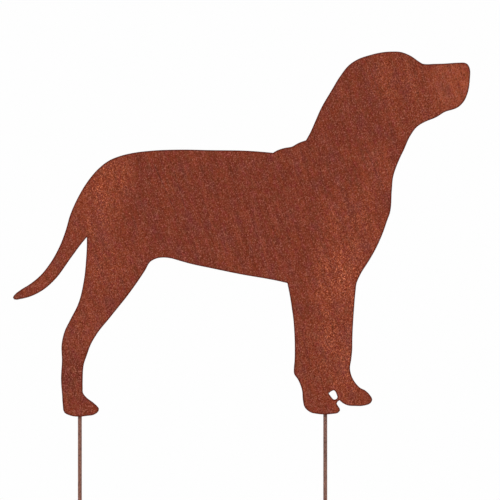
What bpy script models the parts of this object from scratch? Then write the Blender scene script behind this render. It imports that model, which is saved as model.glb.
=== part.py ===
"""Garden stake: a dog's silhouette cut from rusted steel sheet, on two round steel spikes.

Metres, +Z up. The dog faces +X and its front face looks towards -Y. The origin lies on the ground line,
level with the underside of the hind paw, midway between the axes of the two spikes.
"""

import math

import bmesh
import bpy
from mathutils import Vector
from mathutils.geometry import interpolate_bezier

# Sizes of the real thing
FIGURE_LENGTH = 0.4573
PLATE_THICKNESS = 0.002
EDGE_BREAK = 0.0002
SPIKE_DIAMETER = 0.004
SPIKE_DEPTH = 0.200
SPIKE_POINT = 0.012
SPIKE_POINT_DIAMETER = 0.0008
SPIKE_LAP = 0.065
SPIKE_END_BREAK = 0.0004
WELD_LENGTH = 0.009
WELD_LEG = 0.0018
WELD_INSET = 0.002
FIT_GAP = 0.0003

# Fineness of the facets
OUTLINE_FACET = 0.003
SPIKE_SIDES = 24
WELD_SECTIONS = 9
WELD_ARC_STEPS = 6

# The outline is drawn in units of which the dog is DRAWN_LENGTH long from tail tip to nose. Each point is
# (distance ahead of the tail tip, height above the underside of the hind paw). A stretch is a smooth
# curve through its points, and stretches meet in a corner.
DRAWN_LENGTH = 457.3
HIND_SPIKE_AT = 66.5
FORE_SPIKE_AT = 312.4

TAIL_UNDERSIDE = [
    (73.8, 179.6), (67.4, 171.8), (57.2, 157.9), (41.2, 136.5), (31.1, 127.5), (17, 120.1), (7, 117.6),
]
TAIL_TIP = [(1.1, 117.3), (-0.1, 119), (1.7, 122.1)]
TAIL_TOP = [(7, 126.4), (17, 132.7), (27, 140.9), (37, 153.3), (46.7, 170.7), (52.8, 186.8), (56.8, 200.8)]
RUMP = [(63.7, 216.8), (75.8, 236.9), (84.5, 247.1), (97, 256.7), (107, 260.7), (120, 263.8)]
BACK = [(137, 265.9), (167, 267.1), (197, 266.6), (237, 265.8), (260, 263.9)]
WITHERS = [(260, 263.9), (266, 267.1), (272.1, 268.9), (278.5, 270), (285, 273.5), (292.9, 276.4)]
NAPE = [(292.9, 276.4), (297, 283.7), (302.9, 296.9), (307.2, 306.7), (318.8, 326.9), (326.9, 340.2)]
SKULL = [(337, 352.5), (343.7, 356.9), (357, 361.7), (367, 364.1), (379.5, 365.2), (387, 364.9), (397, 361.3)]
STOP = [(406.5, 354.9), (409.5, 353.1), (413, 352.6)]
MUZZLE = [(420, 352.8), (430, 353.1), (447, 354.1)]
NOSE = [(451, 354.1), (454.5, 352.7), (457, 347.3), (457, 338.7), (455, 324.7), (451.5, 316.2)]
JAW = [(445.3, 309.6), (438.9, 306.9), (434, 305.6), (422.3, 299), (412, 294.8), (404.3, 290.1)]
THROAT = [(397.2, 280.6), (391, 267), (386.1, 256.7), (380, 238.7)]
CHEST = [(378.9, 226.7), (376.5, 202.2), (374.3, 196.4), (371, 186.7), (362.2, 166.7), (356.5, 156.7)]
FORELEG_FRONT = [
    (347.2, 141.7), (343.5, 133), (342.7, 126.7), (341, 106.7), (339.4, 76.7), (339.3, 68.2), (338.2, 56.7),
    (337, 48.7),
]
RAISED_PAW = [
    (338.4, 41.4), (344.4, 31.5), (347.2, 28.8), (352, 26.4), (356.9, 21.7), (359.3, 17), (357.5, 13.6),
    (350.7, 11), (342, 10.7), (334.7, 11.3), (329.8, 13.6), (326.5, 16.4),
]
PAW_NOTCH = [(326.5, 16.4), (324.4, 14.9), (323.7, 12.9)]
FRONT_PAW = [
    (323.7, 12.9), (325.1, 10.6), (326.9, 7.7), (327, 6), (325.3, 4.1), (318.7, 2.7), (304.7, 2.7),
    (297, 4.6), (291.7, 9.5), (289.9, 16.7), (289.1, 26), (284.9, 37.2), (281.1, 43.1), (280.9, 48.4),
]
FORELEG_REAR = [
    (281.5, 55), (281.8, 66.7), (281.2, 86.7), (280.3, 98), (279.1, 106.8), (275.8, 126.7), (274.3, 133.6),
]
BELLY = [(274.3, 133.6), (267, 135.3), (226, 142.7), (197, 148.7), (177, 153), (167, 155.8), (158, 158.3)]
FLANK = [(150.9, 159.1), (143.9, 158.3), (137.2, 154.8)]
THIGH = [(132.2, 146.6), (118.6, 126.6), (97.1, 99.3), (83.9, 82.8), (77.4, 71.5), (73.9, 61.9), (70.9, 53)]
HIND_PAW = [
    (69.6, 36.7), (69.6, 28.5), (69.8, 24), (73.3, 19.2), (80.3, 13.9), (84.1, 10.4), (85.8, 8.2), (85.6, 6),
    (81, 2), (74, 0.8), (67, 0), (57, 1.2), (51.4, 4.1), (49.7, 12.2), (49.1, 21),
]
HOCK = [(48, 36.7), (48.9, 56.7), (48.6, 72.2), (51.4, 84.9), (57, 96.6), (64.8, 112)]
HIND_LEG_REAR = [(70.9, 136.7), (73, 156.7), (73.8, 173.1), (73.8, 179.6)]

OUTLINE = [
    TAIL_UNDERSIDE + TAIL_TIP + TAIL_TOP + RUMP + BACK,
    WITHERS,
    NAPE + SKULL + STOP + MUZZLE + NOSE + JAW + THROAT + CHEST + FORELEG_FRONT + RAISED_PAW,
    PAW_NOTCH,
    FRONT_PAW + FORELEG_REAR,
    BELLY + FLANK + THIGH + HIND_PAW + HOCK + HIND_LEG_REAR,
]

# The small opening between the two front paws, drawn the other way round, with the metal on its right
PAW_OPENING = [
    [(315.7, 23.2), (319.4, 18.3)],
    [
        (319.4, 18.3), (320.2, 17.4), (321.6, 17), (323.1, 17.4), (324.2, 18.5), (324.5, 19.8), (324, 21.3),
        (322.4, 25), (321.5, 26.1), (320.2, 26.3), (318.6, 25.6), (315.7, 23.2),
    ],
]

# Values worked out from the sizes
SCALE = FIGURE_LENGTH / DRAWN_LENGTH
ORIGIN_AT = (HIND_SPIKE_AT + FORE_SPIKE_AT) / 2
SPIKE_RADIUS = SPIKE_DIAMETER / 2
PLATE_BACK = -(SPIKE_RADIUS + FIT_GAP)
PLATE_FRONT = PLATE_BACK - PLATE_THICKNESS


def clear_scene():
    """Start from an empty scene."""
    for item in list(bpy.data.objects):
        bpy.data.objects.remove(item, do_unlink=True)


def steel(name, colour, roughness, metallic):
    """A Principled material of one colour."""
    material = bpy.data.materials.new(name)
    material.use_nodes = True
    shader = material.node_tree.nodes["Principled BSDF"]
    shader.inputs["Base Color"].default_value = (*colour, 1.0)
    shader.inputs["Roughness"].default_value = roughness
    shader.inputs["Metallic"].default_value = metallic
    return material


def add_piece(name, bm, material):
    """Turn a bmesh into a named object, smooth over its shallow edges."""
    bmesh.ops.recalc_face_normals(bm, faces=bm.faces)
    mesh = bpy.data.meshes.new(name)
    bm.to_mesh(mesh)
    bm.free()
    mesh.shade_smooth()
    mesh.set_sharp_from_angle(angle=math.radians(30))
    mesh.materials.append(material)
    piece = bpy.data.objects.new(name, mesh)
    bpy.context.scene.collection.objects.link(piece)
    return piece


def drawn(point):
    """A point of the drawing as (x, z) in metres."""
    along, height = point
    return Vector(((along - ORIGIN_AT) * SCALE, height * SCALE))


def slopes(points):
    """The direction of a smooth curve at each of its points, from the parabola through its neighbours."""
    steps = [after - before for before, after in zip(points, points[1:])]
    ways = [step.normalized() for step in steps]
    inner = [
        (way_in * step_out.length + way_out * step_in.length) / (step_in.length + step_out.length)
        for step_in, step_out, way_in, way_out in zip(steps, steps[1:], ways, ways[1:])
    ]
    if not inner:
        return [ways[0], ways[0]]
    return [2 * ways[0] - inner[0], *inner, 2 * ways[-1] - inner[-1]]


def smooth_stretch(points):
    """Facet a smooth curve through the points, without its last point."""
    directions = slopes(points)
    curve = []
    for start, end, leaving, arriving in zip(points, points[1:], directions, directions[1:]):
        span = (end - start).length
        count = max(2, math.ceil(span / OUTLINE_FACET) + 1)
        curve += interpolate_bezier(
            start, start + leaving * span / 3, end - arriving * span / 3, end, count
        )[:-1]
    return curve


def closed_loop(stretches):
    """One closed loop of (x, z) points from the stretches of an outline."""
    loop = []
    for stretch in stretches:
        loop += smooth_stretch([drawn(point) for point in stretch])
    return loop


def inset_loop(loop, distance):
    """Move a loop to its right, where the metal is, by a distance, with mitred corners."""
    moved = []
    for before, here, after in zip(loop[-1:] + loop[:-1], loop, loop[1:] + loop[:1]):
        way_in = (here - before).normalized()
        way_out = (after - here).normalized()
        side_in = Vector((way_in.y, -way_in.x))
        side_out = Vector((way_out.y, -way_out.x))
        moved.append(here + (side_in + side_out) * distance / (1 + side_in.dot(side_out)))
    return moved


def close_band(bm, ring, next_ring):
    """Join two rings of as many vertices with quads."""
    for index, vertex in enumerate(ring):
        following = (index + 1) % len(ring)
        bm.faces.new((vertex, ring[following], next_ring[following], next_ring[index]))


def ring_edges(bm, ring):
    """The edges round a ring of vertices."""
    return [bm.edges.get(pair) for pair in zip(ring, ring[1:] + ring[:1])]


def build_plate(material):
    """The dog, cut from one sheet, with the arris of every cut edge broken."""
    bm = bmesh.new()
    front_edges = []
    back_edges = []
    for loop in (closed_loop(OUTLINE), closed_loop(PAW_OPENING)):
        inner = inset_loop(loop, EDGE_BREAK)
        levels = [
            (inner, PLATE_FRONT),
            (loop, PLATE_FRONT + EDGE_BREAK),
            (loop, PLATE_BACK - EDGE_BREAK),
            (inner, PLATE_BACK),
        ]
        rings = [[bm.verts.new((x, depth, z)) for x, z in points] for points, depth in levels]
        for ring, next_ring in zip(rings, rings[1:]):
            close_band(bm, ring, next_ring)
        front_edges += ring_edges(bm, rings[0])
        back_edges += ring_edges(bm, rings[-1])
    bmesh.ops.triangle_fill(bm, edges=front_edges, use_beauty=True)
    bmesh.ops.triangle_fill(bm, edges=back_edges, use_beauty=True)
    return add_piece("dog_plate", bm, material)


def build_spike(name, along, material):
    """A round rod with a turned point below and a trimmed end behind the leg."""
    point_radius = SPIKE_POINT_DIAMETER / 2
    profile = [
        (0, -SPIKE_DEPTH),
        (point_radius, -SPIKE_DEPTH),
        (SPIKE_RADIUS, SPIKE_POINT - SPIKE_DEPTH),
        (SPIKE_RADIUS, SPIKE_LAP - SPIKE_END_BREAK),
        (SPIKE_RADIUS - SPIKE_END_BREAK, SPIKE_LAP),
        (0, SPIKE_LAP),
    ]
    bm = bmesh.new()
    verts = [bm.verts.new((radius, 0, height)) for radius, height in profile]
    edges = [bm.edges.new(pair) for pair in zip(verts, verts[1:])]
    bmesh.ops.spin(
        bm, geom=verts + edges, axis=(0, 0, 1), angle=math.tau, steps=SPIKE_SIDES, use_merge=True
    )
    bmesh.ops.remove_doubles(bm, verts=bm.verts, dist=point_radius / 100)
    spike = add_piece(name, bm, material)
    spike.location.x = drawn((along, 0)).x
    return spike


def weld_section(fullness):
    """The (x, y) corners of a fillet bead on the +X side of a rod, at a share of its full size."""
    reach = SPIKE_RADIUS + FIT_GAP
    bed = -SPIKE_RADIUS
    root = Vector((math.sqrt(reach ** 2 - bed ** 2), bed))
    toe = Vector((reach + WELD_LEG * fullness, bed))
    root_angle = math.atan2(root.y, root.x)
    crest_angle = root_angle * (1 - fullness)
    crest = Vector((math.cos(crest_angle), math.sin(crest_angle))) * reach
    swell = Vector((1, 1)) * WELD_LEG * fullness / 4
    handles = [toe.lerp(crest, share) + swell for share in (1 / 3, 2 / 3)]
    face = interpolate_bezier(toe, *handles, crest, WELD_ARC_STEPS)
    against_rod = []
    for step in range(1, WELD_ARC_STEPS):
        angle = crest_angle + (root_angle - crest_angle) * step / WELD_ARC_STEPS
        against_rod.append(Vector((math.cos(angle), math.sin(angle))) * reach)
    return [root, *face, *against_rod]


def build_weld(name, along, height, side, material):
    """A short fillet bead in the corner between a spike and the plate, thin at both ends."""
    bm = bmesh.new()
    rings = []
    for index in range(WELD_SECTIONS):
        share = index / (WELD_SECTIONS - 1)
        fullness = 0.4 + 0.6 * math.sin(math.pi * share) ** 0.5
        level = height + (share - 0.5) * WELD_LENGTH
        rings.append([bm.verts.new((side * x, y, level)) for x, y in weld_section(fullness)])
    for ring, next_ring in zip(rings, rings[1:]):
        close_band(bm, ring, next_ring)
    bm.faces.new(rings[0])
    bm.faces.new(rings[-1])
    weld = add_piece(name, bm, material)
    weld.location.x = drawn((along, 0)).x
    return weld


def main():
    clear_scene()
    rust = steel("rusted_sheet", (0.242, 0.048, 0.023), 0.85, 0.1)
    rod_steel = steel("weathered_rod", (0.223, 0.102, 0.076), 0.7, 0.3)
    weld_steel = steel("weld_metal", (0.09, 0.05, 0.04), 0.6, 0.4)
    build_plate(rust)
    upper = SPIKE_LAP - WELD_INSET - WELD_LENGTH / 2
    lower = drawn((0, 2.7)).y + WELD_INSET + WELD_LENGTH
    for spike, along in (("rear", HIND_SPIKE_AT), ("front", FORE_SPIKE_AT)):
        build_spike(spike + "_spike", along, rod_steel)
        for place, height in (("upper", upper), ("lower", lower)):
            for way, side in (("tail_side", -1), ("nose_side", 1)):
                build_weld(f"{spike}_{place}_weld_{way}", along, height, side, weld_steel)


main()
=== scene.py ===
"""Dress the garden stake: rusted cut sheet, weathered rods and rippled weld beads, on a pale studio floor."""
import math

import bpy
import numpy as np
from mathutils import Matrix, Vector, kdtree, noise
from mathutils.geometry import delaunay_2d_cdt, interpolate_bezier


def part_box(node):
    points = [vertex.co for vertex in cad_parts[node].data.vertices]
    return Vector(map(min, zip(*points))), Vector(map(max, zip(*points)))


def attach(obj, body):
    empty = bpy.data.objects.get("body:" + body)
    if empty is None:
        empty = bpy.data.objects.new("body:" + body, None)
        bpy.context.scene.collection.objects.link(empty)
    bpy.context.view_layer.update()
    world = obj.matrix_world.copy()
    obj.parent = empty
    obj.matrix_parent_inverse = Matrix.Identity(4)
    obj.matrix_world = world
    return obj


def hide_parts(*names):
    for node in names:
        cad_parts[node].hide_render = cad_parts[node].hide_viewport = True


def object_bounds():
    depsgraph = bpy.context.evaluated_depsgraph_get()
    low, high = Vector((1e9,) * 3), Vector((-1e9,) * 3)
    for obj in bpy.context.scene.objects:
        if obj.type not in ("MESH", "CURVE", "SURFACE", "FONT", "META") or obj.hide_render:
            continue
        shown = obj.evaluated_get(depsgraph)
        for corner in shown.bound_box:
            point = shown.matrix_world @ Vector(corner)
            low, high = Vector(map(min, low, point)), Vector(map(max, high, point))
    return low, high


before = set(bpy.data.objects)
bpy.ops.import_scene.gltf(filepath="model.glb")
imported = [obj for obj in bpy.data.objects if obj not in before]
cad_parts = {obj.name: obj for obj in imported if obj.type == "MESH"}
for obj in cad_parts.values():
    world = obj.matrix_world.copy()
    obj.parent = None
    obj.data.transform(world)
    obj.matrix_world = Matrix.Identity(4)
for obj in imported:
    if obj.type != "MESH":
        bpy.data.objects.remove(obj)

CAD_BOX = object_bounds()

# The picture is square, with this many pixels a side. Its middle falls on this point (x, z) of the sheet, and
# it shows this much of the sheet, in metres.
PICTURE_PIXELS = 500
PICTURE_MIDDLE = (0.04755, 0.1667)
PICTURE_WIDTH = 0.5
# The camera's lens and sensor, in millimetres
LENS = 150.0
SENSOR = 36.0

# Places on the sheet are given by their pixels in the picture.
# Patches where the rust is more orange, with bright grains: pixel, reach in metres and strength
BRIGHT_PATCHES = {
    "rump": ((94, 204), 0.046, 0.65),
    "rump top": ((110, 174), 0.036, 0.75),
    "thigh": ((102, 262), 0.056, 0.42),
    "hock": ((88, 325), 0.045, 0.2),
    "shoulder": ((352, 225), 0.055, 0.45),
    "lower chest": ((342, 280), 0.05, 1.0),
    "foreleg": ((350, 328), 0.056, 0.55),
    "shin": ((322, 358), 0.05, 0.3),
    "front paws": ((350, 385), 0.04, 0.38),
    "chest": ((382, 172), 0.045, 0.3),
    "throat": ((412, 105), 0.05, 0.32),
    "head": ((392, 70), 0.045, 0.32),
}
# Patches where all of the rust is lighter, and where it is darker
WARM_PATCHES = {
    "tail": ((50, 272), 0.05, 0.25),
    "nose": ((457, 82), 0.04, 1.4),
    "hock": ((92, 335), 0.035, 0.2),
}
DARK_PATCHES = {
    "hind foot": ((70, 378), 0.034, 0.6),
    "loin": ((212, 258), 0.034, 0.3),
    "forehand": ((270, 222), 0.036, 0.25),
}
# Thin dark scratches: both ends, and half the width in metres
SCRATCHES = (
    ((366, 60), (381, 96), 0.0006),
    ((365, 147), (390, 202), 0.0006),
    ((154, 164), (172, 205), 0.0008),
    ((174, 171), (186, 211), 0.0007),
)
# Streaks and scratches lean this far from upright, from upper left to lower right
LEAN = math.radians(16)
# The noises of the materials are turned by these angles
ASKEW = (0.5, 0.35, 0.75)
# The cut face's marks are drawn out through the sheet: its depth counts this much in their noise
CUT_DRAG = 0.08

# Fineness of the sheet's mesh, in metres, and the clearance between its points as a share of the step
RIM_STEP = 0.0009
RIM_ROW = 0.001
GRID_STEP = 0.0014
RIM_CLEARANCE = 0.9
GRID_CLEARANCE = 0.6
CORNER_TURN = math.radians(25)

# Relief of the rust, in metres: its depth and the sizes of its flakes, dimples and pits
SCALE_DEPTH = 0.00012
FLAKE_SIZE = 0.011
DIMPLE_SIZE = 0.0042
PIT_SIZE = 0.0065
# Each face takes its relief from its own place in the noise
FRONT_SEED = 3.0
BACK_SEED = 41.0

# The cut edge, in metres: its arris, the depth and the two sizes of its roughness, and the width of the dark
# rim, which is partly oxide and partly painted shade along the outline
ARRIS_RADIUS = 0.00025
CUT_ROUGHNESS = 0.00006
NOTCH_SIZE = 0.0011
WAVE_SIZE = 0.004
OXIDE_AND_SHADE_BAND = 0.0021
# How fast the notches change through the sheet, and where the waves lie in the noise
NOTCH_CHANGE = 9
WAVE_SEED = 5

# Reach of the scorch marks that the welds leave on the back of the sheet, in metres
SCORCH_REACH = 0.006

# Each rod's ground colour in display values, and its place in the noise
RODS = {
    "rear_spike": ((128, 85, 72), 2.0),
    "front_spike": ((120, 86, 77), 11.0),
}
# A rod's facets, its rings along the point and the shaft, and the length of its point in radii
ROD_SIDES = 36
POINT_RINGS = 14
SHAFT_RINGS = 170
POINT_RADII = 6
# The share of the radius that the tip keeps and that the top end is rounded by, and the point's swell
ROD_END_SHARE = 0.2
POINT_SWELL = 0.92
# Pits in a rod's skin: their length in metres, and the depths of pits and grain as shares of the radius
SKIN_STEP = 0.003
SKIN_TURN = 0.8
SKIN_PITS = 0.02
SKIN_GRAIN = 0.01

# A bead runs this far into the sheet, in metres, and in to this share of the rod's radius
SHEET_SINK = 0.00015
ROD_SINK = 0.95
# A bead's rings and the points across its face
BEAD_RINGS = 96
BEAD_ACROSS = 16
# The root's way round the rod as a share of a right angle, the ends' fullness, and how blunt they are
BEAD_ROOT = 0.8
BEAD_END = 0.12
BEAD_BLUNTNESS = 0.45
# Ripples of a bead: pitch in metres, bow and wander in pitches, sharpness, and depth as a share of the bead
RIPPLE_PITCH = 0.0009
RIPPLE_BOW = 1.1
RIPPLE_WANDER = 0.3
RIPPLE_SHARPNESS = 0.7
RIPPLE_DEPTH = 0.28
LUMP_DEPTH = 0.08
# The beads lie this far apart in the noise
BEAD_SEED_STEP = 3.7

# Studio: the floor fades out between two distances and lies just below the points of the spikes, in metres
FLOOR_RADIUS = 0.86
FLOOR_FADE = (0.45, 0.85)
FLOOR_DROP = 0.0005
FLOOR_SIDES = 96
SHELL_RADIUS = 6
SHELL_RINGS = 24
SHELL_SIDES = 48
# Strength of the surroundings, and each light's place, size in metres and power in watts
WORLD_STRENGTH = 0.62
LIGHTS = {
    "key": ((-1.6, -1.7, 1.9), 1.2, 34.0),
    "fill": ((1.9, -1.5, 0.3), 1.4, 9.0),
    "back_fill": ((0.9, 2.2, 1.6), 1.4, 26.0),
}


def linear_share(value):
    """A display value from 0 to 255 as a linear share."""
    share = value / 255
    return share / 12.92 if share <= 0.04045 else ((share + 0.055) / 1.055) ** 2.4


def srgb(red, green, blue):
    """A colour given in display values from 0 to 255, as linear shader values."""
    return (linear_share(red), linear_share(green), linear_share(blue), 1.0)


class Graph:
    """The nodes of one material, with short calls for the kinds used here."""

    def __init__(self, name):
        self.material = bpy.data.materials.new(name)
        self.material.use_nodes = True
        self.tree = self.material.node_tree
        self.shader = self.tree.nodes["Principled BSDF"]
        self.place = self.node("ShaderNodeTexCoord").outputs["Object"]

    def plug(self, value, socket):
        """Link a node's output to a socket, or set the socket to a plain value."""
        if isinstance(value, bpy.types.NodeSocket):
            self.tree.links.new(value, socket)
        else:
            socket.default_value = value

    def node(self, kind, inputs=None, **settings):
        """A new node with its settings and inputs."""
        made = self.tree.nodes.new(kind)
        for key, value in settings.items():
            setattr(made, key, value)
        for key, value in (inputs or {}).items():
            self.plug(value, made.inputs[key])
        return made

    def finish(self, colour, roughness, specular, metallic):
        """Plug the colour and the sheen into the shader."""
        inputs = self.shader.inputs
        self.plug(colour, inputs["Base Color"])
        self.plug(roughness, inputs["Roughness"])
        self.plug(specular, inputs["Specular IOR Level"])
        self.plug(metallic, inputs["Metallic"])

    def emboss(self, height, distance, strength):
        """Bump the shader's surface by a height."""
        inputs = {"Height": height, "Distance": distance, "Strength": strength}
        bump = self.node("ShaderNodeBump", inputs).outputs["Normal"]
        self.plug(bump, self.shader.inputs["Normal"])

    def speckle(self, size, detail, roughness, where=None, stretch=1.0):
        """Cloudy noise whose grains are about size metres across, drawn out upright by the stretch."""
        inputs = {
            "Vector": self.askew(where or self.place, stretch), "Scale": 1 / size,
            "Detail": detail, "Roughness": roughness,
        }
        return self.node("ShaderNodeTexNoise", inputs).outputs["Fac"]

    def cells(self, size):
        """Distance to the nearest of scattered points about size metres apart, as a share of size."""
        inputs = {"Vector": self.askew(self.place), "Scale": 1 / size}
        return self.node("ShaderNodeTexVoronoi", inputs).outputs["Distance"]

    def askew(self, where, stretch=1.0):
        """Coordinates turned askew, so that no flat face runs along the grid inside a noise."""
        inputs = {"Vector": where, "Scale": (1, 1, 1 / stretch), "Rotation": ASKEW}
        return self.node("ShaderNodeMapping", inputs).outputs["Vector"]

    def leaning(self, angle):
        """Coordinates whose upright leans by an angle in the sheet's plane."""
        inputs = {"Vector": self.place, "Rotation": (0, angle, 0)}
        return self.node("ShaderNodeMapping", inputs).outputs["Vector"]

    def along_cut(self):
        """Coordinates that follow the cut edge: the way run along it, then the depth in the sheet."""
        depth = self.node("ShaderNodeSeparateXYZ", {"Vector": self.place}).outputs["Y"]
        inputs = {"X": self.attribute("cut_run"), "Y": self.times(depth, CUT_DRAG)}
        return self.node("ShaderNodeCombineXYZ", inputs).outputs["Vector"]

    def attribute(self, name):
        """A value that the mesh carries for its material."""
        return self.node("ShaderNodeAttribute", attribute_name=name).outputs["Fac"]

    def band(self, value, low, high, bottom=0.0, top=1.0):
        """Value carried smoothly from the range low to high into bottom to top."""
        inputs = {"Value": value, "From Min": low, "From Max": high, "To Min": bottom, "To Max": top}
        made = self.node("ShaderNodeMapRange", inputs, interpolation_type="SMOOTHSTEP")
        return made.outputs["Result"]

    def sum(self, first, second, operation="ADD"):
        """The sum of two values, or what another operation makes of them."""
        made = self.node("ShaderNodeMath", {0: first, 1: second}, operation=operation)
        return made.outputs["Value"]

    def times(self, first, second):
        """The product of two values."""
        return self.sum(first, second, "MULTIPLY")

    def clamped(self, value):
        """A value held between 0 and 1."""
        return self.node("ShaderNodeClamp", {"Value": value}).outputs["Result"]

    def vector(self, operation, first, second):
        """What an operation makes of two vectors."""
        made = self.node("ShaderNodeVectorMath", {0: first, 1: second}, operation=operation)
        return made.outputs["Value" if operation in ("DISTANCE", "DOT_PRODUCT") else "Vector"]

    def mix(self, share, first, second):
        """The first colour with a share of the second."""
        inputs = {0: share, 6: first, 7: second}
        return self.node("ShaderNodeMix", inputs, data_type="RGBA").outputs[2]

    def tinted(self, colour, tint, value, low, high, share):
        """The colour, turned towards a tint by up to a share as the value passes from low to high."""
        return self.mix(self.band(value, low, high, 0.0, share), colour, srgb(*tint))

    def patch(self, centre, reach):
        """A soft round patch: 1 at its centre, 0 beyond its reach."""
        return self.band(self.vector("DISTANCE", self.place, centre), 0.0, reach, 1.0, 0.0)

    def patches(self, listed):
        """The sum of soft patches, each given by its pixel, reach and strength."""
        total = 0.0
        for pixel, reach, strength in listed.values():
            total = self.sum(total, self.times(self.patch(sheet_point(*pixel), reach), strength))
        return total

    def stroke(self, start, end, half_width):
        """A thin straight mark from start to end: 1 along its middle, 0 past half its width."""
        way = Vector(end) - Vector(start)
        offset = self.vector("SUBTRACT", self.place, start)
        along = self.node("ShaderNodeMath", {
            0: self.vector("DOT_PRODUCT", offset, way), 1: way.length_squared,
        }, operation="DIVIDE", use_clamp=True).outputs["Value"]
        scaled = self.node("ShaderNodeVectorMath", {0: way, "Scale": along}, operation="SCALE")
        foot = scaled.outputs["Vector"]
        return self.band(self.vector("DISTANCE", offset, foot), 0.0, half_width, 1.0, 0.0)


def sheet_point(px, py):
    """A point on the front of the sheet from its pixel in the picture."""
    scale = PICTURE_WIDTH / PICTURE_PIXELS
    middle = PICTURE_PIXELS / 2
    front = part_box("dog_plate")[0].y
    return (PICTURE_MIDDLE[0] + (px - middle) * scale, front, PICTURE_MIDDLE[1] - (py - middle) * scale)


def rust_patches(g, bright, uneven):
    """The ground colour of the rust, with its orange, lighter and darker patches."""
    colour = g.mix(g.clamped(g.times(bright, 0.34)), srgb(125, 48, 24), srgb(170, 62, 4))
    for listed, tint in ((WARM_PATCHES, (180, 86, 53)), (DARK_PATCHES, (96, 38, 26))):
        colour = g.mix(g.clamped(g.times(g.patches(listed), uneven)), colour, srgb(*tint))
    return colour


def rust_tones(g, colour, clouds, slanting):
    """Soft clouds, areas of other hues, streaks and scratches over the rust."""
    colour = g.tinted(colour, (159, 71, 50), clouds, 0.5, 0.75, 0.16)
    colour = g.tinted(colour, (100, 40, 27), clouds, 0.5, 0.25, 0.2)

    # Orange and purple-brown areas, then smaller crimson and olive ones
    hues = g.speckle(0.011, 2.0, 0.55, where=slanting, stretch=1.7)
    colour = g.tinted(colour, (149, 60, 23), hues, 0.5, 0.72, 0.45)
    colour = g.tinted(colour, (117, 54, 57), hues, 0.5, 0.28, 0.45)
    tones = g.speckle(0.0045, 2.0, 0.5, where=slanting, stretch=1.4)
    colour = g.tinted(colour, (145, 46, 52), tones, 0.5, 0.75, 0.45)
    colour = g.tinted(colour, (117, 67, 33), tones, 0.5, 0.25, 0.45)

    streaks = g.speckle(0.0036, 3.0, 0.75, where=slanting, stretch=12.0)
    colour = g.tinted(colour, (88, 35, 22), streaks, 0.5, 0.75, 0.65)
    colour = g.tinted(colour, (166, 78, 50), streaks, 0.5, 0.25, 0.6)
    for start, end, half_width in SCRATCHES:
        mark = g.stroke(sheet_point(*start), sheet_point(*end), half_width)
        colour = g.mix(g.times(mark, g.band(streaks, 0.3, 0.6, 0.5, 0.95)), colour, srgb(62, 25, 19))
    return colour


def rust_grains(g, colour, bright, grain, pits, crumbs):
    """Light and dark grains, bright ones in the bright patches, pits, crumbs and a few flecks."""
    colour = g.tinted(colour, (186, 115, 97), grain, 0.5, 0.71, 0.88)
    colour = g.tinted(colour, (80, 20, 4), grain, 0.5, 0.3, 0.96)
    sparks = g.speckle(0.0012, 4.0, 0.7, stretch=1.25)
    spark_share = g.clamped(g.times(bright, g.band(sparks, 0.53, 0.65, 0.0, 1.3)))
    colour = g.mix(spark_share, colour, srgb(248, 140, 99))
    colour = g.tinted(colour, (80, 25, 8), pits, 0.35, 0.8, 0.45)
    colour = g.tinted(colour, (184, 108, 92), crumbs, 0.5, 0.72, 0.5)
    colour = g.tinted(colour, (74, 22, 4), crumbs, 0.5, 0.28, 0.5)
    flecks = g.speckle(0.0023, 2.0, 0.7)
    return g.tinted(colour, (216, 136, 112), flecks, 0.66, 0.76, 0.6)


def rust_rim_oxide_shade_and_scorch(g, colour, cut, drag):
    """The dark rim, partly oxide and partly painted shade along the outline, with its lighter cut face, and
    the scorch marks on the back.
    """
    lighter = g.times(cut, g.band(drag, 0.3, 0.7, 0.25, 0.9))
    # Painted shade: the rim's dark colour stands partly for oxide on the cut and partly for the shadowed
    # outline and arris
    rim = g.mix(lighter, srgb(80, 24, 11), srgb(122, 54, 34))
    colour = g.mix(g.band(g.attribute("edge"), 0.2, 0.8, 0.0, 0.88), colour, rim)
    return g.tinted(colour, (66, 44, 42), g.attribute("scorch"), 0.1, 0.9, 0.75)


def rust_material():
    """Dry rust: fine light and dark grains over soft clouds, slanting streaks and a dark cut edge, partly
    oxide and partly painted shade.
    """
    g = Graph("dry_rust")
    slanting = g.leaning(LEAN)
    uneven = g.band(g.speckle(0.013, 3.0, 0.6, where=slanting, stretch=3.0), 0.3, 0.7, 0.4, 1.6)
    bright = g.times(g.patches(BRIGHT_PATCHES), uneven)
    clouds = g.speckle(0.024, 4.0, 0.62, where=slanting, stretch=2.0)
    grain = g.speckle(0.00105, 3.0, 0.6, stretch=1.25)
    pits = g.cells(0.00055)
    crumbs = g.speckle(0.00022, 3.0, 0.75)
    cut = g.attribute("cut_face")
    drag = g.speckle(0.0003, 2.0, 0.6, where=g.along_cut())

    colour = rust_patches(g, bright, uneven)
    colour = rust_tones(g, colour, clouds, slanting)
    colour = rust_grains(g, colour, bright, grain, pits, crumbs)
    colour = rust_rim_oxide_shade_and_scorch(g, colour, cut, drag)
    g.finish(colour, g.band(g.sum(grain, clouds), 0.7, 1.3, 0.95, 0.75), 0.08, 0.0)

    crust = g.sum(g.sum(g.times(grain, 0.75), g.times(pits, -0.25)), g.times(crumbs, 0.35))
    crust = g.sum(crust, g.times(g.cells(0.0003), -0.2))
    notched = g.times(g.times(drag, cut), 0.6)
    g.emboss(g.sum(crust, notched), 0.0003, 0.7)
    return g.material


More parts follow.
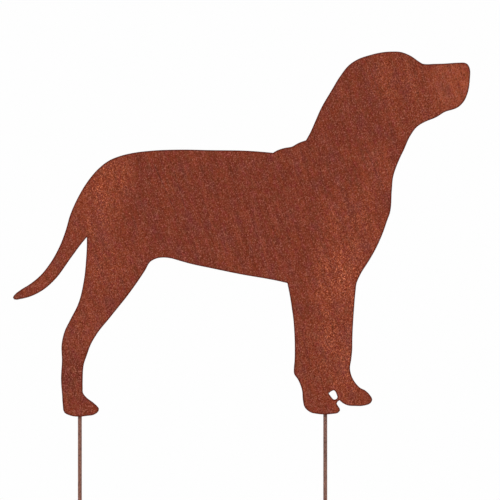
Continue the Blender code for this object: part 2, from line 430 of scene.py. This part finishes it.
def rod_material(name, tint):
    """Weathered steel rod: brown bloom in lengths over drawn steel, with small rust grains."""
    g = Graph(name)
    blooms = g.speckle(0.0035, 3.0, 0.6, stretch=3.0)
    colour = g.mix(g.band(blooms, 0.45, 0.7), tint, srgb(139, 98, 85))
    colour = g.tinted(colour, (92, 60, 54), blooms, 0.48, 0.28, 0.8)
    grain = g.speckle(0.0013, 3.0, 0.65)
    colour = g.tinted(colour, (172, 124, 108), grain, 0.5, 0.72, 0.9)
    colour = g.tinted(colour, (62, 32, 25), grain, 0.5, 0.28, 0.9)
    crumbs = g.speckle(0.00025, 3.0, 0.75)
    colour = g.tinted(colour, (176, 132, 112), crumbs, 0.5, 0.72, 0.45)
    colour = g.tinted(colour, (66, 36, 28), crumbs, 0.5, 0.28, 0.45)
    g.finish(colour, g.band(grain, 0.3, 0.7, 0.62, 0.85), 0.12, 0.1)
    marks = g.speckle(0.0004, 1.0, 0.5, stretch=50.0)
    height = g.sum(g.sum(g.times(grain, 0.7), g.times(marks, 0.3)), g.times(crumbs, 0.35))
    g.emboss(height, 0.00018, 0.6)
    return g.material


def weld_material():
    """Weld metal rusted dark brown, with blue-grey scale left in places."""
    g = Graph("weld_bead")
    rust = g.speckle(0.0016, 4.0, 0.65)
    colour = g.mix(g.band(rust, 0.36, 0.6), srgb(92, 50, 38), srgb(128, 66, 42))
    bare = g.band(g.speckle(0.0012, 4.0, 0.7), 0.52, 0.66, 0.0, 0.85)
    colour = g.mix(bare, colour, srgb(62, 56, 58))
    crumbs = g.speckle(0.00025, 3.0, 0.75)
    colour = g.tinted(colour, (160, 92, 62), crumbs, 0.5, 0.75, 0.6)
    colour = g.tinted(colour, (44, 26, 22), crumbs, 0.5, 0.25, 0.6)
    g.finish(colour, g.band(bare, 0.0, 0.85, 0.85, 0.5), 0.25, g.times(bare, 0.6))
    g.emboss(crumbs, 0.0001, 0.7)
    return g.material


def walk_loops(pairs):
    """Closed loops of keys, from the pairs of keys that are neighbours."""
    beside = {}
    for first, second in pairs:
        beside.setdefault(first, []).append(second)
        beside.setdefault(second, []).append(first)
    loops = []
    unused = set(beside)
    while unused:
        start = min(unused)
        loop = [start]
        unused.remove(start)
        while True:
            ahead = [key for key in beside[loop[-1]] if key in unused]
            if not ahead:
                break
            loop.append(ahead[0])
            unused.remove(ahead[0])
        loops.append(loop)
    return loops


def cut_loops():
    """The sheet's outlines as (x, z) points, longest first, the metal on the right of each."""
    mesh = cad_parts["dog_plate"].data
    levels = sorted({round(vertex.co.y, 5) for vertex in mesh.vertices})
    shoulder = levels[1]
    at_shoulder = {}
    for vertex in mesh.vertices:
        if abs(vertex.co.y - shoulder) < 1e-5:
            at_shoulder[vertex.index] = (round(vertex.co.x, 7), round(vertex.co.z, 7))
    pairs = {
        tuple(sorted((at_shoulder[a], at_shoulder[b])))
        for a, b in (edge.vertices for edge in mesh.edges)
        if a in at_shoulder and b in at_shoulder
    }
    loops = [np.array(loop) for loop in walk_loops(pairs)]
    loops.sort(key=len, reverse=True)
    turned = []
    for index, loop in enumerate(loops):
        after = np.roll(loop, -1, axis=0)
        area = np.sum(loop[:, 0] * after[:, 1] - after[:, 0] * loop[:, 1]) / 2
        clockwise = area < 0
        turned.append(loop if clockwise == (index == 0) else loop[::-1])
    return turned


def smoothed(loop, step):
    """The loop as a smooth curve with points about step apart, its corners kept."""
    before = np.roll(loop, 1, axis=0)
    after = np.roll(loop, -1, axis=0)
    way_in = loop - before
    way_out = after - loop
    length_in = np.linalg.norm(way_in, axis=1, keepdims=True)
    length_out = np.linalg.norm(way_out, axis=1, keepdims=True)
    unit_in = way_in / length_in
    unit_out = way_out / length_out
    slope = (unit_in * length_out + unit_out * length_in) / (length_in + length_out)
    turn = np.arccos(np.clip(np.sum(unit_in * unit_out, axis=1), -1, 1))
    corner = turn > CORNER_TURN
    points = []
    for index in range(len(loop)):
        following = (index + 1) % len(loop)
        start = Vector(loop[index])
        end = Vector(loop[following])
        span = (end - start).length
        leaving = Vector(unit_out[index] if corner[index] else slope[index])
        arriving = Vector(unit_out[index] if corner[following] else slope[following])
        count = max(2, round(span / step) + 1)
        handles = (start + leaving * span / 3, end - arriving * span / 3)
        points += interpolate_bezier(start, *handles, end, count)[:-1]
    return np.array([tuple(point) for point in points])


def inset(loop, distance):
    """The loop moved by a distance to its right, into the metal."""
    way_in = loop - np.roll(loop, 1, axis=0)
    way_out = np.roll(loop, -1, axis=0) - loop
    side_in = np.stack([way_in[:, 1], -way_in[:, 0]], axis=1)
    side_out = np.stack([way_out[:, 1], -way_out[:, 0]], axis=1)
    side_in /= np.linalg.norm(side_in, axis=1, keepdims=True)
    side_out /= np.linalg.norm(side_out, axis=1, keepdims=True)
    spread = 1 + np.sum(side_in * side_out, axis=1, keepdims=True)
    return loop + (side_in + side_out) * np.reshape(distance, (-1, 1)) / spread


def inside(points, loops):
    """Which points lie within the outer loop and outside the others."""
    odd = np.zeros(len(points), bool)
    for loop in loops:
        for (x0, z0), (x1, z1) in zip(loop, np.roll(loop, -1, axis=0)):
            if z0 == z1:
                continue
            crossed = (points[:, 1] >= min(z0, z1)) & (points[:, 1] < max(z0, z1))
            at = x0 + (points[:, 1] - z0) * (x1 - x0) / (z1 - z0)
            odd ^= crossed & (points[:, 0] < at)
    return odd


def tree_of(points):
    """A tree that finds the nearest of some (x, z) points."""
    tree = kdtree.KDTree(len(points))
    for index, (x, z) in enumerate(points):
        tree.insert((x, z, 0), index)
    tree.balance()
    return tree


def distances(points, tree):
    """How far each (x, z) point lies from the nearest point of a tree."""
    return np.array([tree.find((x, z, 0))[2] for x, z in points])


def face_points(loops, tree):
    """A row of points along the rim, then staggered rows inside it, kept clear of each other."""
    beside = np.concatenate([inset(loop, RIM_ROW) for loop in loops])
    beside = beside[distances(beside, tree) > RIM_ROW * RIM_CLEARANCE]
    low = loops[0].min(axis=0)
    high = loops[0].max(axis=0)
    rows = []
    for row, z in enumerate(np.arange(low[1], high[1], GRID_STEP * math.sqrt(0.75))):
        x = np.arange(low[0], high[0], GRID_STEP) + (row % 2) * GRID_STEP / 2
        rows.append(np.stack([x, np.full(len(x), z)], axis=1))
    points = np.concatenate(rows)
    points = points[inside(points, loops)]
    taken = tree_of(np.concatenate([*loops, beside]))
    clear = distances(points, taken) > GRID_CLEARANCE * GRID_STEP
    return np.concatenate([beside, points[clear]])


def face_net(points, loops):
    """Triangles between the points of the face, none of them in an opening."""
    sides = []
    first = 0
    for loop in loops:
        count = len(loop)
        sides += [(first + index, first + (index + 1) % count) for index in range(count)]
        first += count
    net = delaunay_2d_cdt([Vector(point) for point in points], sides, [], 1, 1e-9)
    source = [ids[0] for ids in net[3]]
    triangles = np.array([[source[corner] for corner in face] for face in net[2]])
    middles = points[triangles].mean(axis=1)
    return [tuple(face) for face in triangles[inside(middles, loops)].tolist()]


def scale_relief(x, z, seed):
    """How far the rusted face lies below the sheet's face, from 0 to 1: flakes, dimples and pits."""
    flakes = noise.fractal(Vector((x / FLAKE_SIZE, z / FLAKE_SIZE, seed)), 0.9, 2.1, 3)
    dimples = noise.noise(Vector((x / DIMPLE_SIZE, z / DIMPLE_SIZE, seed + 7)))
    pits = noise.noise(Vector((x / PIT_SIZE, z / PIT_SIZE, seed + 19)))
    depth = 0.42 + 0.22 * flakes + 0.2 * dimples + 0.6 * max(0.0, pits - 0.35)
    return min(1.0, max(0.0, depth))


def relief_depths(points, seed):
    """How far each point of a rusted face lies below the sheet's face, in metres."""
    return np.array([scale_relief(x, z, seed) for x, z in points]) * SCALE_DEPTH


def add_values(mesh, name, values):
    """Give every vertex of a mesh a named value for its material."""
    layer = mesh.attributes.new(name, "FLOAT", "POINT")
    layer.data.foreach_set("value", np.asarray(values, np.float32))


def add_object(name, points, faces, material):
    """A smooth-shaded mesh object."""
    mesh = bpy.data.meshes.new(name)
    mesh.from_pydata(points, [], faces)
    mesh.validate()
    mesh.shade_smooth()
    mesh.materials.append(material)
    made = bpy.data.objects.new(name, mesh)
    bpy.context.scene.collection.objects.link(made)
    return made


def weld_nodes():
    """The names of the weld beads' solids."""
    return [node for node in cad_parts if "_weld_" in node]


def cut_levels(thickness):
    """Rings down the cut edge: the share of the arris that each is drawn in by, of the thickness that it
    lies below the front, and of the roughness that it has."""
    eased = math.sqrt(0.5)
    radius = ARRIS_RADIUS / thickness
    return [
        (1 - eased, radius * (1 - eased), 0.0), (0.0, radius, 0.3), (0.0, 0.3, 1.0), (0.0, 0.5, 0.7),
        (0.0, 0.7, 1.0), (0.0, 1 - radius, 0.3), (1 - eased, 1 - radius * (1 - eased), 0.0),
    ]


def cut_ring(outlines, drawn_in, share, rough):
    """The (x, z) points of one ring down the cut edge, with its roughness."""
    ring = []
    for outline in outlines:
        bite = np.array([
            noise.noise(Vector((x / NOTCH_SIZE, z / NOTCH_SIZE, share * NOTCH_CHANGE)))
            + noise.noise(Vector((x / WAVE_SIZE, z / WAVE_SIZE, WAVE_SEED)))
            for x, z in outline
        ])
        bite = np.clip(0.5 + 0.5 * bite, 0, 1) * CUT_ROUGHNESS * rough
        ring.append(inset(outline, ARRIS_RADIUS * drawn_in + bite))
    return np.concatenate(ring)


def cut_faces(rings, loops):
    """Quads down the cut edge, between rings that each run through all the loops."""
    faces = []
    for ring, next_ring in zip(rings, rings[1:]):
        first = 0
        for loop in loops:
            size = len(loop)
            for index in range(size):
                here = first + index
                ahead = first + (index + 1) % size
                faces.append((ring[here], ring[ahead], next_ring[ahead], next_ring[here]))
            first += size
    return faces


def add_sheet_values(mesh, flat, outlines, rim_tree, rings):
    """What the rust needs to know of each vertex: rim (the band of oxide and painted shade along the
    outline), way along the cut, cut face and scorch.
    """
    count = len(flat)
    total = len(mesh.vertices)
    on_cut = total - 2 * count
    # The rim band darkens both faces near the outline: partly oxide, partly painted shade
    edge = np.clip(1 - distances(flat, rim_tree) / OXIDE_AND_SHADE_BAND, 0, 1)
    add_values(mesh, "edge", np.concatenate([edge, edge, np.ones(on_cut)]))

    steps = [np.linalg.norm(loop - np.roll(loop, 1, axis=0), axis=1) for loop in outlines]
    lengths = np.concatenate([np.cumsum(step) for step in steps])
    run = np.zeros(total)
    cut = np.zeros(total)
    for ring in rings:
        run[ring] = lengths
    for ring in rings[2:-2]:
        cut[ring] = 1.0
    add_values(mesh, "cut_run", run)
    add_values(mesh, "cut_face", cut)

    middles = [sum(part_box(node), Vector()) / 2 for node in weld_nodes()]
    centres = np.array([(middle.x, middle.z) for middle in middles])
    apart = np.min(np.linalg.norm(flat[:, None, :] - centres[None, :, :], axis=2), axis=1)
    scorch = np.exp(-((apart / SCORCH_REACH) ** 2))
    add_values(mesh, "scorch", np.concatenate([np.zeros(count), scorch, np.zeros(on_cut)]))


def build_sheet(material):
    """The dog's sheet with rust relief on both faces, eased arrises and a lightly rough cut edge."""
    low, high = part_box("dog_plate")
    thickness = high.y - low.y
    outlines = [smoothed(loop, RIM_STEP) for loop in cut_loops()]
    rim_tree = tree_of(np.concatenate(outlines))

    # Each face is the outline drawn in by the arris, filled with a fine even net
    caps = [inset(loop, ARRIS_RADIUS) for loop in outlines]
    cap_rim = np.concatenate(caps)
    flat = np.concatenate([cap_rim, face_points(outlines, rim_tree)])
    triangles = face_net(flat, caps)
    count = len(flat)
    front = low.y + relief_depths(flat, FRONT_SEED)
    back = high.y - relief_depths(flat, BACK_SEED)
    points = [np.stack([flat[:, 0], depth, flat[:, 1]], axis=1) for depth in (front, back)]
    faces = triangles + [(c + count, b + count, a + count) for a, b, c in triangles]

    rim_count = len(cap_rim)
    rings = [np.arange(rim_count)]
    total = 2 * count
    for drawn_in, share, rough in cut_levels(thickness):
        ring = cut_ring(outlines, drawn_in, share, rough)
        depth = np.full(rim_count, low.y + share * thickness)
        points.append(np.stack([ring[:, 0], depth, ring[:, 1]], axis=1))
        rings.append(np.arange(rim_count) + total)
        total += rim_count
    rings.append(np.arange(rim_count) + count)
    faces += cut_faces(rings, caps)

    points = [tuple(point) for point in np.concatenate(points)]
    sheet = add_object("cut_dog_sheet", points, faces, material)
    add_sheet_values(sheet.data, flat, outlines, rim_tree, rings)
    return sheet


def ring_faces(rings, sides):
    """Quads between rings of vertices that follow each other, and one face at each end."""
    faces = []
    for ring in range(rings - 1):
        for side in range(sides):
            following = (side + 1) % sides
            faces.append((
                ring * sides + side, ring * sides + following,
                (ring + 1) * sides + following, (ring + 1) * sides + side,
            ))
    last = (rings - 1) * sides
    faces.append(tuple(range(sides - 1, -1, -1)))
    faces.append(tuple(last + side for side in range(sides)))
    return faces


def round_place(angle, reach):
    """A point round an axis, at an angle and a reach."""
    return Vector((math.cos(angle), math.sin(angle))) * reach


def rod_axis(node):
    """A rod's axis as (x, y), its radius, its lowest point and its length."""
    low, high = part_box(node)
    return (low.x + high.x) / 2, (low.y + high.y) / 2, (high.x - low.x) / 2, low.z, high.z - low.z


def rod_levels(length, taper, end):
    """The heights of a rod's rings, close together along its point."""
    shaft = length - taper - end
    levels = [taper * step / POINT_RINGS for step in range(POINT_RINGS + 1)]
    levels += [taper + shaft * step / SHAFT_RINGS for step in range(1, SHAFT_RINGS + 1)]
    return levels + [length - end * 0.3, length]


def build_rod(node, material, seed):
    """A drawn rod with a ground point, its skin slightly pitted, inside the plain rod's outline."""
    axis_x, axis_y, radius, foot, length = rod_axis(node)
    taper = radius * POINT_RADII
    end = radius * ROD_END_SHARE
    levels = rod_levels(length, taper, end)
    points = []
    for height in levels:
        if height < taper:
            reach = end + (radius - end) * (height / taper) ** POINT_SWELL
        else:
            over = max(0.0, height - (length - end)) / end
            reach = radius - end * (1 - math.sqrt(max(0.0, 1 - over ** 2)))
        for side in range(ROD_SIDES):
            angle = math.tau * side / ROD_SIDES
            across = (math.cos(angle) * SKIN_TURN, math.sin(angle) * SKIN_TURN)
            skin = Vector((*across, height / SKIN_STEP + seed))
            pits = SKIN_PITS * max(0.0, noise.noise(skin) + 0.25)
            grain = SKIN_GRAIN * (1 + noise.noise(skin * 2.7))
            here = reach * (1 - (pits + grain))
            points.append((axis_x + math.cos(angle) * here, axis_y + math.sin(angle) * here, foot + height))
    return add_object(node + "_rod", points, ring_faces(len(levels), ROD_SIDES), material)


def bead_drawing_in(share, across, seed, length):
    """How far a point of a bead's face is drawn in by its ripples and lumps, as a share of the bead."""
    part = across / (BEAD_ACROSS - 1)
    bow = 4 * part * (1 - part)
    wander = RIPPLE_WANDER * noise.noise(Vector((share * 9, seed, 0)))
    phase = share * length / RIPPLE_PITCH + bow * RIPPLE_BOW + wander
    crease = 1 - abs(math.sin(math.pi * phase)) ** RIPPLE_SHARPNESS
    lumps = LUMP_DEPTH * max(0.0, noise.noise(Vector((share * 14, across * 0.6, seed))))
    return RIPPLE_DEPTH * crease * bow + lumps


def build_bead(node, material, seed):
    """A fillet bead with crescent ripples and round ends, fused into the rod and the sheet beside it."""
    low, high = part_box(node)
    axis_x, axis_y, rod_radius, *_ = rod_axis("rear_spike" if node.startswith("rear") else "front_spike")
    radius = rod_radius * ROD_SINK
    side = 1 if (low.x + high.x) / 2 > axis_x else -1
    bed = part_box("dog_plate")[1].y - SHEET_SINK - axis_y
    leg = max(high.x - axis_x, axis_x - low.x) - radius
    length = high.z - low.z
    root_angle = -math.pi / 2 * BEAD_ROOT
    root = round_place(root_angle, radius)
    points = []
    for ring in range(BEAD_RINGS):
        share = ring / (BEAD_RINGS - 1)
        fullness = BEAD_END + (1 - BEAD_END) * math.sin(math.pi * share) ** BEAD_BLUNTNESS
        toe = Vector((radius + leg * fullness, bed))
        crest = round_place(root_angle * (1 - fullness), radius)
        swell = Vector((1, 1)) * leg * fullness / 4
        handles = [toe.lerp(crest, part) + swell for part in (1 / 3, 2 / 3)]
        heart = (toe + crest + root) / 3
        face = interpolate_bezier(toe, *handles, crest, BEAD_ACROSS)
        for across, point in enumerate(face):
            face[across] = point.lerp(heart, bead_drawing_in(share, across, seed, length))
        for point in (*face, root, Vector((root.x, bed))):
            points.append((axis_x + side * point.x, axis_y + point.y, low.z + share * length))
    faces = ring_faces(BEAD_RINGS, BEAD_ACROSS + 2)
    if side < 0:
        faces = [tuple(reversed(face)) for face in faces]
    return add_object(node.replace("_weld_", "_bead_"), points, faces, material)


def build_floor():
    """A pale round floor just under the points of the spikes, fading out at its rim."""
    g = Graph("studio_floor")
    g.finish((0.93, 0.93, 0.93, 1.0), 0.9, 0.1, 0.0)
    far = g.band(g.vector("DISTANCE", g.place, (0, 0, 0)), *FLOOR_FADE)
    clear = g.node("ShaderNodeBsdfTransparent").outputs["BSDF"]
    both = g.node("ShaderNodeMixShader", {0: far, 1: g.shader.outputs["BSDF"], 2: clear})
    g.plug(both.outputs["Shader"], g.tree.nodes["Material Output"].inputs["Surface"])
    angles = [math.tau * side / FLOOR_SIDES for side in range(FLOOR_SIDES)]
    ring = [(math.cos(angle) * FLOOR_RADIUS, math.sin(angle) * FLOOR_RADIUS, 0) for angle in angles]
    floor = add_object("studio_floor", ring, [tuple(range(FLOOR_SIDES))], g.material)
    floor.location.z = CAD_BOX[0].z - FLOOR_DROP


def build_backdrop():
    """A white shell far round everything, seen by the camera alone, so that it throws no light."""
    material = bpy.data.materials.new("studio_white")
    material.use_nodes = True
    nodes = material.node_tree.nodes
    nodes.remove(nodes["Principled BSDF"])
    glow = nodes.new("ShaderNodeEmission")
    glow.inputs["Color"].default_value = srgb(254, 254, 254)
    surface = nodes["Material Output"].inputs["Surface"]
    material.node_tree.links.new(glow.outputs["Emission"], surface)
    points = []
    for ring in range(SHELL_RINGS):
        tilt = math.pi * (ring + 0.5) / SHELL_RINGS
        for side in range(SHELL_SIDES):
            angle = math.tau * side / SHELL_SIDES
            reach = SHELL_RADIUS * math.sin(tilt)
            points.append((reach * math.cos(angle), reach * math.sin(angle), -SHELL_RADIUS * math.cos(tilt)))
    shell = add_object("studio_backdrop", points, ring_faces(SHELL_RINGS, SHELL_SIDES), material)
    for way in ("visible_diffuse", "visible_glossy", "visible_transmission", "visible_shadow"):
        setattr(shell, way, False)


def add_light(name, place, size, power, aim):
    """A square soft light at a place, turned towards a point."""
    light = bpy.data.lights.new(name, "AREA")
    light.size = size
    light.energy = power
    lamp = bpy.data.objects.new(name, light)
    lamp.location = place
    lamp.rotation_euler = (Vector(aim) - Vector(place)).to_track_quat("-Z", "Y").to_euler()
    bpy.context.scene.collection.objects.link(lamp)


def light_scene():
    """Even white surroundings and three soft lights: high on the left, low on the right and behind."""
    world = bpy.data.worlds.new("studio")
    world.use_nodes = True
    surroundings = world.node_tree.nodes["Background"].inputs
    surroundings["Color"].default_value = (1.0, 1.0, 1.0, 1.0)
    surroundings["Strength"].default_value = WORLD_STRENGTH
    bpy.context.scene.world = world
    middle = (PICTURE_MIDDLE[0], 0.0, PICTURE_MIDDLE[1])
    for name, (place, size, power) in LIGHTS.items():
        add_light(name, place, size, power, middle)
    bpy.context.scene.view_settings.view_transform = "Standard"


def place_camera():
    """Square on to the sheet, from far off, as in the picture."""
    lens = bpy.data.cameras.new("camera")
    lens.lens = LENS
    lens.sensor_width = SENSOR
    camera = bpy.data.objects.new("camera", lens)
    away = PICTURE_WIDTH * LENS / SENSOR
    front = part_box("dog_plate")[0].y
    camera.location = (PICTURE_MIDDLE[0], front - away, PICTURE_MIDDLE[1])
    camera.rotation_euler = (math.radians(90), 0, 0)
    bpy.context.scene.collection.objects.link(camera)
    bpy.context.scene.camera = camera


def finish_piece(piece, node):
    """Fix a piece to the part in place of its plain solid."""
    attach(piece, "root")
    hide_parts(node)


place_camera()
light_scene()
build_floor()
build_backdrop()

finish_piece(build_sheet(rust_material()), "dog_plate")
for spike, (tint, seed) in RODS.items():
    rod_steel = rod_material(spike + "_steel", srgb(*tint))
    finish_piece(build_rod(spike, rod_steel, seed), spike)
bead_material = weld_material()
for order, bead_node in enumerate(sorted(weld_nodes())):
    finish_piece(build_bead(bead_node, bead_material, order * BEAD_SEED_STEP), bead_node)
